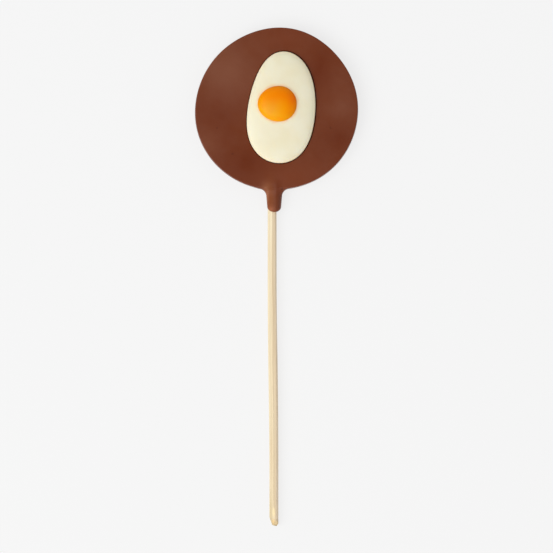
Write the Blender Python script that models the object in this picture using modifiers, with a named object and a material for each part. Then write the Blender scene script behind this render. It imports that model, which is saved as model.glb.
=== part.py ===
"""A chocolate lollipop: a round milk chocolate disc with a fried egg sweet let into its face,
on a bamboo stick. It lies on its flat back. Units are metres; +X is to the right, +Y runs from
the tip of the stick to the top of the disc, and +Z points out of the shown face."""

import math

import bmesh
import bpy
from mathutils import Matrix, Vector

# Driving dimensions of the whole
OVERALL_LENGTH = 0.1996
DISC_DIAMETER = 0.0651
DISC_THICKNESS = 0.0060
STICK_LENGTH = 0.1500
STICK_DIAMETER = 0.0035

# Chocolate disc
DISC_CENTRE_Y = 0.06706
WALL_DRAFT = math.radians(2.0)
FACE_EDGE_RADIUS = 0.0005
BACK_EDGE_RADIUS = 0.0003
FACE_EDGE_STEPS = 6
BACK_EDGE_STEPS = 3
OUT_OF_ROUND = (
    (2, 0.00024, 71.0), (3, 0.000255, -105.0), (4, 0.00005, -33.0), (5, 0.00005, 38.0),
    (6, 0.00006, 90.0),
)
DISC_STEPS = 144

# Neck of chocolate round the stick, measured along Y from its rounded end
NECK_END_Y = 0.0259
NECK_CENTRE_X = -0.00098
NECK_HEIGHT = 0.0054
NECK_NOSE_LENGTH = 0.0022
NECK_NOSE_HALF_WIDTH = 0.00278
NECK_SIDE_SLOPE = 0.09
NECK_FILLET_START_Y = 0.03225
NECK_FILLET_RADIUS = 0.0030
NECK_INNER_END_Y = 0.0400
NECK_INNER_HALF_WIDTH = 0.0030
NECK_ARCH_HEIGHT = 0.0028
NECK_RIDGE = 0.0001
NECK_RIDGE_LENGTH = 0.0050
NECK_SINK = 0.0004
NECK_SIDES = 40
NECK_RINGS = 40
NECK_RING_CROWDING = 1.6
NECK_FOOT_ROUNDNESS = 0.25
NECK_END_SHARE = 0.002

# Stick
STICK_AXIS_Z = 0.0025
STICK_TIP_X = -0.0011
STICK_LEAN = math.radians(0.28)
STICK_SIDES = 32
STICK_CLEARANCE = 0.0002
BORE_END_GAP = 0.0004

# Knife cuts at the stick's tip, each a point and an outward direction in the stick's own frame,
# where +X is to the right, -Y is up and +Z runs to the disc
LONG_FACET = ((-0.0003, -0.00170, 0.0076), (-0.20, -0.98, -0.035))
LEFT_FACET = ((-0.00170, 0.0, 0.0036), (-0.93, -0.10, -0.36))
FRONT_FACET = ((0.0, -0.00145, 0.0022), (-0.15, -0.75, -0.65))
END_FACET = ((0.0, 0.0, 0.0004), (-0.22, -0.05, -0.97))

# White of the egg sweet
WHITE_CENTRE = (0.0020, 0.0678)
WHITE_LENGTH = 0.0446
WHITE_WIDTH = 0.0277
WHITE_TAPER = 0.10
WHITE_LEAN = 0.0019
WHITE_BEND = -0.0011
WHITE_FLAT_SIDES = -0.00036
WHITE_LET_IN = 0.0010
WHITE_EDGE_RISE = 0.0006
WHITE_CROWN_RISE = 0.0026
WHITE_CROWN_FULLNESS = 2.4
WHITE_SIDES = 72

# Yolk of the egg sweet
YOLK_CENTRE = (0.00055, 0.0691)
YOLK_WIDTH = 0.0158
YOLK_LENGTH = 0.0146
YOLK_UNEVEN = 0.00014
YOLK_TOP_Z = 0.0116
YOLK_EDGE_Z = 0.0084
YOLK_SEAT_Z = 0.0079
YOLK_CROWN_FULLNESS = 3.0
YOLK_SIDES = 56

# Room between touching pieces, how far a cutter runs on past what it cuts, and the rings from
# the edge of a sweet to its top
GAP = 0.0003
CUTTER_ROOM = 0.0020
CROWN_RINGS = 13
SMOOTH_ANGLE = math.radians(35)

# Smallest step that counts: on shapes of unit size, and in the turn round an outline
UNIT_TOLERANCE = 0.0001
TURN_STEP = 0.001

# Colours as sRGB levels out of 255, and roughness
CHOCOLATE_FINISH = ((114, 60, 40), 0.42)
BAMBOO_FINISH = ((236, 213, 176), 0.60)
FOAM_FINISH = ((238, 231, 204), 0.48)
JELLY_FINISH = ((246, 151, 19), 0.30)

STICK_TIP_Y = -OVERALL_LENGTH / 2
STICK_RADIUS = STICK_DIAMETER / 2
BORE_LENGTH = STICK_LENGTH + BORE_END_GAP


def srgb(red, green, blue):
    """Linear colour with alpha from three sRGB levels out of 255."""
    def linear(level):
        share = level / 255
        return share / 12.92 if share <= 0.04045 else ((share + 0.055) / 1.055) ** 2.4

    return (linear(red), linear(green), linear(blue), 1.0)


def make_material(name, finish):
    """Principled material of one food or wood."""
    levels, roughness = finish
    colour = srgb(*levels)
    material = bpy.data.materials.new(name)
    material.use_nodes = True
    shader = material.node_tree.nodes["Principled BSDF"]
    shader.inputs["Base Color"].default_value = colour
    shader.inputs["Roughness"].default_value = roughness
    shader.inputs["Metallic"].default_value = 0.0
    material.diffuse_color = colour
    return material


def make_collection(name):
    """New collection under the scene."""
    collection = bpy.data.collections.new(name)
    bpy.context.scene.collection.children.link(collection)
    return collection


def make_object(name, bm, collection):
    """Object from a finished bmesh, shaded smooth over shallow angles."""
    bmesh.ops.recalc_face_normals(bm, faces=bm.faces)
    mesh = bpy.data.meshes.new(name)
    bm.to_mesh(mesh)
    bm.free()
    mesh.shade_smooth()
    mesh.set_sharp_from_angle(angle=SMOOTH_ANGLE)
    piece = bpy.data.objects.new(name, mesh)
    collection.objects.link(piece)
    return piece


def close_rim(bm):
    """Close the open rim of a cut shape with one flat face."""
    rim = [edge for edge in bm.edges if edge.is_boundary]
    bmesh.ops.holes_fill(bm, edges=rim, sides=0)


def as_cutter(piece):
    """Mark an operand of a Boolean, which isn't a piece of the lollipop."""
    piece.hide_render = True
    piece.display_type = "WIRE"
    return piece


def add_boolean(piece, operand, operation):
    """Exact Boolean of a piece with an operand."""
    boolean = piece.modifiers.new(operand.name, "BOOLEAN")
    boolean.operation = operation
    boolean.solver = "EXACT"
    boolean.object = operand


def arc(centre, radius, start, end, steps):
    """Points of an arc from one angle to another, in degrees."""
    points = []
    for step in range(steps + 1):
        angle = math.radians(start + (end - start) * step / steps)
        points.append((centre[0] + radius * math.cos(angle), centre[1] + radius * math.sin(angle)))
    return points


def smooth_step(value, low, high):
    """0 below low, 1 above high, and an even S curve between them."""
    share = min(max((value - low) / (high - low), 0.0), 1.0)
    return share * share * (3.0 - 2.0 * share)


def out_of_round(angle):
    """How far the disc's edge stands from a true circle at an angle."""
    return sum(
        size * math.cos(order * angle - math.radians(phase))
        for order, size, phase in OUT_OF_ROUND
    )


def disc_profile():
    """Half section of the disc, from the middle of the face round to the middle of the back."""
    radius = DISC_DIAMETER / 2
    wall_height = DISC_THICKNESS - FACE_EDGE_RADIUS - BACK_EDGE_RADIUS
    face_centre = (
        radius - wall_height * math.tan(WALL_DRAFT) - FACE_EDGE_RADIUS,
        DISC_THICKNESS - FACE_EDGE_RADIUS,
    )
    back_centre = (radius - BACK_EDGE_RADIUS, BACK_EDGE_RADIUS)
    draft = math.degrees(WALL_DRAFT)
    profile = [(0.0, DISC_THICKNESS)]
    profile += arc(face_centre, FACE_EDGE_RADIUS, 90, draft, FACE_EDGE_STEPS)
    profile += arc(back_centre, BACK_EDGE_RADIUS, 0, -90, BACK_EDGE_STEPS)
    profile.append((0.0, 0.0))
    return profile


def make_disc(collection):
    """Moulded disc: a turned blank, pushed slightly out of round."""
    profile = disc_profile()
    bm = bmesh.new()
    rail = [bm.verts.new((x, 0.0, z)) for x, z in profile]
    for start, end in zip(rail, rail[1:]):
        bm.edges.new((start, end))
    mesh = bpy.data.meshes.new("disc_profile")
    bm.to_mesh(mesh)
    bm.free()
    blank = bpy.data.objects.new("disc_blank", mesh)
    collection.objects.link(blank)
    screw = blank.modifiers.new("turn", "SCREW")
    screw.steps = DISC_STEPS
    screw.render_steps = DISC_STEPS
    screw.use_merge_vertices = True
    screw.merge_threshold = 0.00001

    evaluated = blank.evaluated_get(bpy.context.evaluated_depsgraph_get())
    turned = bmesh.new()
    turned.from_mesh(bpy.data.meshes.new_from_object(evaluated))
    bpy.data.objects.remove(blank)
    for vert in turned.verts:
        radius = math.hypot(vert.co.x, vert.co.y)
        if radius:
            share = 1.0 + out_of_round(math.atan2(vert.co.y, vert.co.x)) / (DISC_DIAMETER / 2)
            vert.co.x *= share
            vert.co.y *= share
    bmesh.ops.translate(turned, verts=turned.verts, vec=(0.0, DISC_CENTRE_Y, 0.0))
    return make_object("chocolate_disc", turned, collection)


def neck_half_width(y):
    """Half width of the neck: a rounded nose, straight flaring sides, then the fillet to the disc."""
    nose_base = NECK_END_Y + NECK_NOSE_LENGTH
    if y < nose_base:
        share = (nose_base - y) / NECK_NOSE_LENGTH
        return NECK_NOSE_HALF_WIDTH * math.sqrt(max(1.0 - share * share, 0.0))
    width = NECK_NOSE_HALF_WIDTH + NECK_SIDE_SLOPE * (min(y, NECK_FILLET_START_Y) - nose_base)
    fillet_end = NECK_FILLET_START_Y + NECK_FILLET_RADIUS
    reach = min(max(y - NECK_FILLET_START_Y, 0.0), NECK_FILLET_RADIUS)
    width += NECK_FILLET_RADIUS - math.sqrt(NECK_FILLET_RADIUS ** 2 - reach ** 2)
    inner = smooth_step(y, fillet_end, NECK_INNER_END_Y)
    return width + (NECK_INNER_HALF_WIDTH - width) * inner


def neck_top(y):
    """Height of the neck's ridge, which rises a little over the disc's face and dies out in it."""
    crest = DISC_THICKNESS + NECK_RIDGE
    crest_y = NECK_FILLET_START_Y + NECK_RIDGE_LENGTH
    rise = smooth_step(y, NECK_FILLET_START_Y, crest_y)
    fade = smooth_step(y, crest_y, NECK_INNER_END_Y)
    return NECK_HEIGHT + (crest - NECK_HEIGHT) * rise - NECK_SINK * fade


def neck_arch(y):
    """Height of the arched part of the neck's section: round on the neck, flat on the disc."""
    nose_share = neck_half_width(y) / NECK_NOSE_HALF_WIDTH
    if nose_share < 1.0:
        return NECK_ARCH_HEIGHT * nose_share
    flat = smooth_step(y, NECK_FILLET_START_Y, NECK_FILLET_START_Y + NECK_FILLET_RADIUS)
    return NECK_ARCH_HEIGHT + (FACE_EDGE_RADIUS - NECK_ARCH_HEIGHT) * flat


def make_neck(collection):
    """Neck form: a cylinder of many rings, each moved to the neck's section at its place."""
    bm = bmesh.new()
    bmesh.ops.create_cone(
        bm, cap_ends=True, segments=NECK_SIDES, radius1=1.0, radius2=1.0, depth=1.0
    )
    long_edges = [edge for edge in bm.edges if edge.verts[0].co.z * edge.verts[1].co.z < 0]
    bmesh.ops.subdivide_edges(bm, edges=long_edges, cuts=NECK_RINGS - 2, use_grid_fill=False)
    for vert in bm.verts:
        # The rings crowd towards the nose, where the width changes fastest.
        share = max((vert.co.z + 0.5) ** NECK_RING_CROWDING, NECK_END_SHARE)
        y = NECK_END_Y + (NECK_INNER_END_Y - NECK_END_Y) * share
        angle = math.atan2(vert.co.y, vert.co.x)
        half_width = neck_half_width(y)
        arch = neck_arch(y)
        if vert.co.y > -UNIT_TOLERANCE:
            x = half_width * math.cos(angle)
            z = neck_top(y) - arch + arch * math.sin(angle)
        else:
            across = abs(math.cos(angle)) ** NECK_FOOT_ROUNDNESS
            x = half_width * math.copysign(across, math.cos(angle))
            z = 0.0
        vert.co = (NECK_CENTRE_X + x, y, z)
    return as_cutter(make_object("neck_form", bm, collection))


def stick_matrix():
    """Place of the stick: its own +Z runs from the tip up into the disc."""
    return (
        Matrix.Translation((STICK_TIP_X, STICK_TIP_Y, STICK_AXIS_Z))
        @ Matrix.Rotation(STICK_LEAN, 4, "Z")
        @ Matrix.Rotation(math.radians(-90), 4, "X")
    )


def make_bore(collection):
    """Blind bore that the stick sits in."""
    radius = STICK_RADIUS + STICK_CLEARANCE
    bm = bmesh.new()
    bmesh.ops.create_cone(
        bm, cap_ends=True, segments=STICK_SIDES, radius1=radius, radius2=radius,
        depth=BORE_LENGTH,
    )
    bmesh.ops.translate(bm, verts=bm.verts, vec=(0.0, 0.0, BORE_LENGTH / 2))
    bmesh.ops.transform(bm, matrix=stick_matrix(), verts=bm.verts)
    return as_cutter(make_object("bore", bm, collection))


def make_stick(collection):
    """Bamboo stick with a roughly whittled, blunt tip."""
    bm = bmesh.new()
    bmesh.ops.create_cone(
        bm, cap_ends=True, segments=STICK_SIDES, radius1=STICK_RADIUS, radius2=STICK_RADIUS,
        depth=STICK_LENGTH,
    )
    bmesh.ops.translate(bm, verts=bm.verts, vec=(0.0, 0.0, STICK_LENGTH / 2))
    for point, outward in (LONG_FACET, LEFT_FACET, FRONT_FACET, END_FACET):
        everything = bm.verts[:] + bm.edges[:] + bm.faces[:]
        bmesh.ops.bisect_plane(
            bm, geom=everything, plane_co=point, plane_no=outward, clear_outer=True,
            dist=UNIT_TOLERANCE * STICK_RADIUS,
        )
        close_rim(bm)
    bmesh.ops.transform(bm, matrix=stick_matrix(), verts=bm.verts)
    return make_object("stick", bm, collection)


def white_outline(angle, offset=0.0):
    """Point of the egg-shaped outline at an angle, moved out by an offset."""
    def point(turn):
        across = math.cos(turn)
        along = math.sin(turn)
        x = WHITE_WIDTH / 2 * across * (1.0 - WHITE_TAPER * along)
        x += WHITE_LEAN * along + WHITE_BEND * along ** 3 + WHITE_FLAT_SIDES * math.cos(3 * turn)
        return Vector((x, WHITE_LENGTH / 2 * along))

    tangent = point(angle + TURN_STEP) - point(angle - TURN_STEP)
    outward = Vector((tangent.y, -tangent.x)).normalized()
    return point(angle) + outward * offset


def yolk_outline(angle, offset=0.0):
    """Point of the yolk's outline at an angle, moved out by an offset."""
    reach = offset - YOLK_UNEVEN * math.cos(3 * angle)
    x = (YOLK_WIDTH / 2 + reach) * math.cos(angle)
    y = (YOLK_LENGTH / 2 + reach) * math.sin(angle)
    return Vector((x, y))


def make_prism(name, outline, centre, offset, low, high, sides, collection):
    """Straight-sided cutter of an outline, from one height to another."""
    bm = bmesh.new()
    bmesh.ops.create_cone(
        bm, cap_ends=True, segments=sides, radius1=1.0, radius2=1.0, depth=1.0
    )
    for vert in bm.verts:
        place = outline(math.atan2(vert.co.y, vert.co.x), offset)
        height = high if vert.co.z > 0 else low
        vert.co = (centre[0] + place.x, centre[1] + place.y, height)
    return as_cutter(make_object(name, bm, collection))


def make_crowned(name, outline, centre, base, edge, top, fullness, sides, collection):
    """Sweet with a crowned top, a short wall and a flat base: the upper half of a sphere, drawn
    out to the outline, with its rim drawn down."""
    bm = bmesh.new()
    bmesh.ops.create_uvsphere(bm, u_segments=sides, v_segments=2 * CROWN_RINGS, radius=1.0)
    bmesh.ops.bisect_plane(
        bm, geom=bm.verts[:] + bm.edges[:] + bm.faces[:], plane_co=(0.0, 0.0, 0.0),
        plane_no=(0.0, 0.0, -1.0), clear_outer=True, dist=UNIT_TOLERANCE,
    )
    rim = [edge for edge in bm.edges if edge.is_boundary]
    wall = bmesh.ops.extrude_edge_only(bm, edges=rim)
    foot = [item for item in wall["geom"] if isinstance(item, bmesh.types.BMVert)]
    bmesh.ops.translate(bm, verts=foot, vec=(0.0, 0.0, -1.0))
    close_rim(bm)
    for vert in bm.verts:
        rise = max(vert.co.z, 0.0)
        reach = (1.0 - min(rise, 1.0) ** 2) ** (1.0 / fullness)
        place = outline(math.atan2(vert.co.y, vert.co.x)) * reach
        height = base if vert.co.z < -0.5 else edge + (top - edge) * rise
        vert.co = (centre[0] + place.x, centre[1] + place.y, height)
    return make_object(name, bm, collection)


def build():
    """Model every piece of the lollipop."""
    for item in list(bpy.data.objects):
        bpy.data.objects.remove(item)
    lollipop = make_collection("chocolate_lollipop")
    cutters = make_collection("cutters")

    disc = make_disc(lollipop)
    disc.data.materials.append(make_material("milk_chocolate", CHOCOLATE_FINISH))
    add_boolean(disc, make_neck(cutters), "UNION")
    add_boolean(disc, make_bore(cutters), "DIFFERENCE")
    pocket_floor = DISC_THICKNESS - WHITE_LET_IN
    pocket = make_prism(
        "egg_pocket", white_outline, WHITE_CENTRE, GAP, pocket_floor,
        DISC_THICKNESS + CUTTER_ROOM, WHITE_SIDES, cutters,
    )
    add_boolean(disc, pocket, "DIFFERENCE")

    stick = make_stick(lollipop)
    stick.data.materials.append(make_material("bamboo", BAMBOO_FINISH))

    white = make_crowned(
        "egg_white", white_outline, WHITE_CENTRE, pocket_floor + GAP,
        DISC_THICKNESS + WHITE_EDGE_RISE, DISC_THICKNESS + WHITE_EDGE_RISE + WHITE_CROWN_RISE,
        WHITE_CROWN_FULLNESS, WHITE_SIDES, lollipop,
    )
    white.data.materials.append(make_material("white_foam", FOAM_FINISH))
    seat = make_prism(
        "yolk_seat", yolk_outline, YOLK_CENTRE, GAP, YOLK_SEAT_Z, YOLK_TOP_Z, YOLK_SIDES, cutters
    )
    add_boolean(white, seat, "DIFFERENCE")

    yolk = make_crowned(
        "egg_yolk", yolk_outline, YOLK_CENTRE, YOLK_SEAT_Z + GAP, YOLK_EDGE_Z, YOLK_TOP_Z,
        YOLK_CROWN_FULLNESS, YOLK_SIDES, lollipop,
    )
    yolk.data.materials.append(make_material("orange_jelly", JELLY_FINISH))


build()
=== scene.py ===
import functools
import math

import bmesh
import bpy
from mathutils import Matrix, Vector, noise


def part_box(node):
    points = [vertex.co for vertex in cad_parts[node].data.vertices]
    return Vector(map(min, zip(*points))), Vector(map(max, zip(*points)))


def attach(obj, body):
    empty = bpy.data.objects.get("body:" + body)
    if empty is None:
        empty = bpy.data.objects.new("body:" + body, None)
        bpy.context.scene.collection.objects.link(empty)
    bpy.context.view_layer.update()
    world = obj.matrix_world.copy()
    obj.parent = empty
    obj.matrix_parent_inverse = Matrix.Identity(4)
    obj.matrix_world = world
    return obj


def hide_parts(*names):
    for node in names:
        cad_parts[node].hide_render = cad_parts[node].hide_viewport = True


mm = 0.001
weldDistance = 0.002 * mm
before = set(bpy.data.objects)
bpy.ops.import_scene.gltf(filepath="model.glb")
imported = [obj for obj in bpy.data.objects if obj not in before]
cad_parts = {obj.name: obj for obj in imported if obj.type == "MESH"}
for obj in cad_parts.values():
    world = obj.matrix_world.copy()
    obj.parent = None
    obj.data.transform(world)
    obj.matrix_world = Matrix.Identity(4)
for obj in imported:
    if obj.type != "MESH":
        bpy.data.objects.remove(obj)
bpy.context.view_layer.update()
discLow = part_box("chocolate_disc")[0]
whiteLow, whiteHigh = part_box("egg_white")
yolkLow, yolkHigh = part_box("egg_yolk")
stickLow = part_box("stick")[0]
print("frame loaded:", ", ".join(sorted(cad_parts)))


# small helpers

def srgb(red, green, blue):
    levels = [level / 255 for level in (red, green, blue)]
    linear = [v / 12.92 if v <= 0.04045 else ((v + 0.055) / 1.055) ** 2.4 for v in levels]
    return (*linear, 1.0)


def blend(start, end, share):
    return start + (end - start) * share


def smoothStep(value, low, high):
    share = min(max((value - low) / (high - low), 0.0), 1.0)
    return share * share * (3.0 - 2.0 * share)


def bell(distance, reach):  # 1 in the middle, dying away on both sides
    return math.exp(-(distance / reach) ** 2)


def softMax(first, second, reach):  # the higher of two heights, rounded where they meet
    near = max(reach - abs(first - second), 0.0) / reach
    return max(first, second) + near * near * reach / 4


def wander(x, y, size, seed):  # smooth noise from about -1 to 1, in lumps of a size
    return noise.noise(Vector((x / size, y / size, seed)))


def closeMesh(bm):
    bmesh.ops.remove_doubles(bm, verts=bm.verts, dist=weldDistance)
    bmesh.ops.recalc_face_normals(bm, faces=bm.faces)


def spinPiece(piece, placeOf):  # spins a flat sheet of rings, then puts each point in its place
    stations = [
        (zone, ring / last) for zone, first, last in piece["rings"] for ring in range(first, last + 1)]
    steps = piece["steps"]
    bm = bmesh.new()
    row = [bm.verts.new((ring, 0.0, 0.0)) for ring in range(len(stations))]
    edges = [bm.edges.new(pair) for pair in zip(row, row[1:])]
    bmesh.ops.spin(bm, geom=row + edges, cent=(0, 0, 0), axis=(0, 0, 1), dvec=(0, 0, 0),
                   angle=2 * math.pi, steps=steps, use_merge=True, use_normal_flip=False,
                   use_duplicate=False)
    for vert in bm.verts:  # a point's distance is its ring's number
        ring = round(math.hypot(vert.co.x, vert.co.y))
        spoke = round(math.atan2(vert.co.y, vert.co.x) * steps / (2 * math.pi))
        vert.co = placeOf(spoke * 2 * math.pi / steps, *stations[ring])
    closeMesh(bm)
    return bm


def newPiece(name, bm, material):
    mesh = bpy.data.meshes.new(name)
    bm.to_mesh(mesh)
    bm.free()
    mesh.materials.append(material)
    piece = bpy.data.objects.new(name, mesh)
    bpy.context.scene.collection.objects.link(piece)
    return piece


def finishPiece(name, bm, material, node):
    piece = newPiece(name, bm, material)
    piece.data.shade_smooth()
    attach(piece, "root")
    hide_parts(node)
    print(f"{name}: {len(piece.data.polygons)} faces")


# node groups that several materials share

def newGroup(name, inputs, outputs):
    group = bpy.data.node_groups.new(name, "ShaderNodeTree")
    for label, kind, value in inputs:
        socket = group.interface.new_socket(name=label, in_out="INPUT", socket_type=kind)
        if value is not None:
            socket.default_value = value
    for label, kind in outputs:
        group.interface.new_socket(name=label, in_out="OUTPUT", socket_type=kind)
    start = group.nodes.new("NodeGroupInput")
    end = group.nodes.new("NodeGroupOutput")
    return group, start, end


def addNode(tree, kind, inputs=None, **settings):  # inputs hold values, or sockets to link from
    node = tree.nodes.new(kind)
    for key, value in settings.items():
        setattr(node, key, value)
    for key, value in (inputs or {}).items():
        if isinstance(value, bpy.types.NodeSocket):
            tree.links.new(value, node.inputs[key])
        else:
            node.inputs[key].default_value = value
    return node


def makeSoftPatches():  # large cloudy patches, as of uneven setting
    group, start, end = newGroup(
        "softPatches",
        [("Vector", "NodeSocketVector", None), ("Scale", "NodeSocketFloat", 100.0),
         ("Detail", "NodeSocketFloat", 2.0), ("Softness", "NodeSocketFloat", 0.25)],
        [("Mask", "NodeSocketFloat")])
    cloud = addNode(group, "ShaderNodeTexNoise", {
        "Vector": start.outputs["Vector"], "Scale": start.outputs["Scale"],
        "Detail": start.outputs["Detail"], "Roughness": 0.45})
    softness = start.outputs["Softness"]
    low = addNode(group, "ShaderNodeMath", {0: 0.5, 1: softness}, operation="SUBTRACT")
    high = addNode(group, "ShaderNodeMath", {0: 0.5, 1: softness}, operation="ADD")
    span = addNode(group, "ShaderNodeMapRange", {
        "Value": cloud.outputs["Fac"], "From Min": low.outputs[0], "From Max": high.outputs[0]},
        interpolation_type="SMOOTHSTEP")
    group.links.new(span.outputs["Result"], end.inputs["Mask"])
    return group


def makeTinySpots():  # small round spots that stand well apart, such as pinholes and specks
    group, start, end = newGroup(
        "tinySpots",
        [("Vector", "NodeSocketVector", None), ("Scale", "NodeSocketFloat", 300.0),
         ("Radius", "NodeSocketFloat", 0.12)],
        [("Mask", "NodeSocketFloat")])
    radius = start.outputs["Radius"]
    cells = addNode(group, "ShaderNodeTexVoronoi", {
        "Vector": start.outputs["Vector"], "Scale": start.outputs["Scale"], "Randomness": 1.0})
    core = addNode(group, "ShaderNodeMath", {0: radius, 1: 0.35}, operation="MULTIPLY")
    span = addNode(group, "ShaderNodeMapRange", {
        "Value": cells.outputs["Distance"], "From Min": core.outputs[0], "From Max": radius,
        "To Min": 1.0, "To Max": 0.0}, interpolation_type="SMOOTHSTEP")
    group.links.new(span.outputs["Result"], end.inputs["Mask"])
    return group


def makeFoodSkin():  # height of a fine uneven skin: soft ripples and a little grain
    group, start, end = newGroup(
        "foodSkin",
        [("Vector", "NodeSocketVector", None), ("Ripple Scale", "NodeSocketFloat", 400.0),
         ("Grain Scale", "NodeSocketFloat", 4000.0), ("Grain", "NodeSocketFloat", 0.2)],
        [("Height", "NodeSocketFloat")])
    ripple = addNode(group, "ShaderNodeTexNoise", {
        "Vector": start.outputs["Vector"], "Scale": start.outputs["Ripple Scale"], "Detail": 2.0})
    grain = addNode(group, "ShaderNodeTexNoise", {
        "Vector": start.outputs["Vector"], "Scale": start.outputs["Grain Scale"], "Detail": 3.0})
    both = addNode(group, "ShaderNodeMath", {
        0: grain.outputs["Fac"], 1: start.outputs["Grain"], 2: ripple.outputs["Fac"]},
        operation="MULTIPLY_ADD")
    group.links.new(both.outputs[0], end.inputs["Height"])
    return group


softPatches = makeSoftPatches()
tinySpots = makeTinySpots()
foodSkin = makeFoodSkin()


def useGroup(tree, group, inputs):
    return addNode(tree, "ShaderNodeGroup", inputs, node_tree=group).outputs[0]


def addClouds(tree, position, scale, detail, softness):
    return useGroup(tree, softPatches, {
        "Vector": position, "Scale": scale, "Detail": detail, "Softness": softness})


def addSpots(tree, position, scale, radius):
    return useGroup(tree, tinySpots, {"Vector": position, "Scale": scale, "Radius": radius})


def addSkin(tree, position, rippleScale, grainScale, grain):
    return useGroup(tree, foodSkin, {
        "Vector": position, "Ripple Scale": rippleScale, "Grain Scale": grainScale, "Grain": grain})


# what every material is made with

def newMaterial(name, constants):  # its even values are set on the shader's own sockets
    material = bpy.data.materials.new(name)
    material.use_nodes = True
    tree = material.node_tree
    shader = tree.nodes["Principled BSDF"]
    for key, value in constants.items():
        shader.inputs[key].default_value = value
    place = addNode(tree, "ShaderNodeTexCoord")
    return material, tree, shader, place.outputs["Object"]


def calc(tree, operation, first, second):
    return addNode(tree, "ShaderNodeMath", {0: first, 1: second}, operation=operation).outputs[0]


def rangeOf(tree, value, low, high, fromLow=0.0, fromHigh=1.0):
    return addNode(tree, "ShaderNodeMapRange", {
        "Value": value, "From Min": fromLow, "From Max": fromHigh,
        "To Min": low, "To Max": high}).outputs["Result"]


def mixColours(tree, mask, first, second):
    return addNode(
        tree, "ShaderNodeMix", {0: mask, 6: first, 7: second}, data_type="RGBA").outputs[2]


def tint(tree, base, mask, amount, tone):  # lays a tone over the base colour, where a mask shows it
    return mixColours(tree, calc(tree, "MULTIPLY", mask, amount), base, tone)


def roundPatch(tree, position, centre, size, turn=0.0):  # 1 in the middle of an oval, 0 at its edge
    shift = Matrix.Rotation(turn, 2) @ Vector(centre)
    moved = addNode(tree, "ShaderNodeMapping", {
        "Vector": position, "Rotation": (0.0, 0.0, turn), "Location": (-shift.x, -shift.y, 0.0)})
    shrunk = addNode(tree, "ShaderNodeMapping", {
        "Vector": moved.outputs[0], "Scale": (1 / size[0], 1 / size[1], 0.0)})
    return addNode(tree, "ShaderNodeTexGradient", {"Vector": shrunk.outputs[0]},
                   gradient_type="QUADRATIC_SPHERE").outputs["Fac"]


def layPatches(tree, position, base, finish, patches, centre=(0.0, 0.0)):  # soft ovals of tones
    for tone, x, y, width, length, turn, amount in patches:
        place = (centre[0] + x * mm, centre[1] + y * mm)
        patch = roundPatch(tree, position, place, (width * mm, length * mm), math.radians(turn))
        base = tint(tree, base, patch, amount, finish[tone])
    return base


def addBump(tree, shader, height, distance, strength):
    bump = addNode(tree, "ShaderNodeBump", {
        "Height": height, "Distance": distance, "Strength": strength})
    tree.links.new(bump.outputs["Normal"], shader.inputs["Normal"])


print("shared node groups made")


# egg white and yolk: sizes, and the outline that the chocolate's pocket follows too

white = {
    "length": 44.6 * mm,
    "width": 27.7 * mm,
    "centre": Vector((2.0 * mm, (whiteLow.y + whiteHigh.y) / 2)),
    "taper": 0.10,           # narrower towards the top
    "lean": 1.9 * mm,        # the top leans to the right
    "bend": -1.1 * mm,
    "flatSides": -0.36 * mm,
    "edgeZ": 6.6 * mm,       # where its wall turns into the crown
    "topZ": 9.2 * mm,
    "fullness": 2.4,
    "sink": 0.02 * mm,       # it sits this far into the pocket's floor
    "foot": 0.25 * mm,       # rounding under its wall
    "beadInset": 0.80 * mm,  # a faint line runs round inside the edge
    "beadWidth": 0.26 * mm,
    "beadDepth": 0.09 * mm,
    "collar": 0.16 * mm,     # it climbs a little to the yolk
    "collarReach": 0.7 * mm,
    "lumps": 0.045 * mm,
    "lumpSize": 6.0 * mm,
    "pimples": 0.35,         # smaller lumps, as a share of the large ones
    "pimpleSize": 2.2 * mm,
    "lumpEdge": 3.0 * mm,    # the lumps die out over this width beside the edge
    "steps": 300,
    "rings": (("crown", 0, 62), ("wall", 1, 4), ("foot", 1, 3), ("base", 1, 6)),
}

yolk = {
    "centre": ((yolkLow.x + yolkHigh.x) / 2, (yolkLow.y + yolkHigh.y) / 2),
    "width": yolkHigh.x - yolkLow.x,
    "length": yolkHigh.y - yolkLow.y,
    "uneven": 0.14 * mm,
    "edgeZ": 8.4 * mm,
    "topZ": yolkHigh.z - 0.01 * mm,
    "bottomZ": 8.0 * mm,
    "fullness": 3.0,
    "lumps": 0.05 * mm,
    "lumpSize": 5.0 * mm,
    "steps": 220,
    "rings": (("dome", 0, 56), ("wall", 1, 2), ("base", 1, 5)),
}


def whitePoint(turn):
    across = math.cos(turn)
    along = math.sin(turn)
    x = white["width"] / 2 * across * (1.0 - white["taper"] * along)
    x += (white["lean"] * along + white["bend"] * along ** 3
          + white["flatSides"] * math.cos(3 * turn))
    return Vector((x, white["length"] / 2 * along))


@functools.cache
def whiteOutline(turn, offset=0.0):  # moved outwards by the offset, round the white's own centre
    nudge = 0.001
    step = whitePoint(turn + nudge) - whitePoint(turn - nudge)
    outward = Vector((step.y, -step.x)).normalized()
    return whitePoint(turn) + outward * offset


# chocolate

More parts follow.
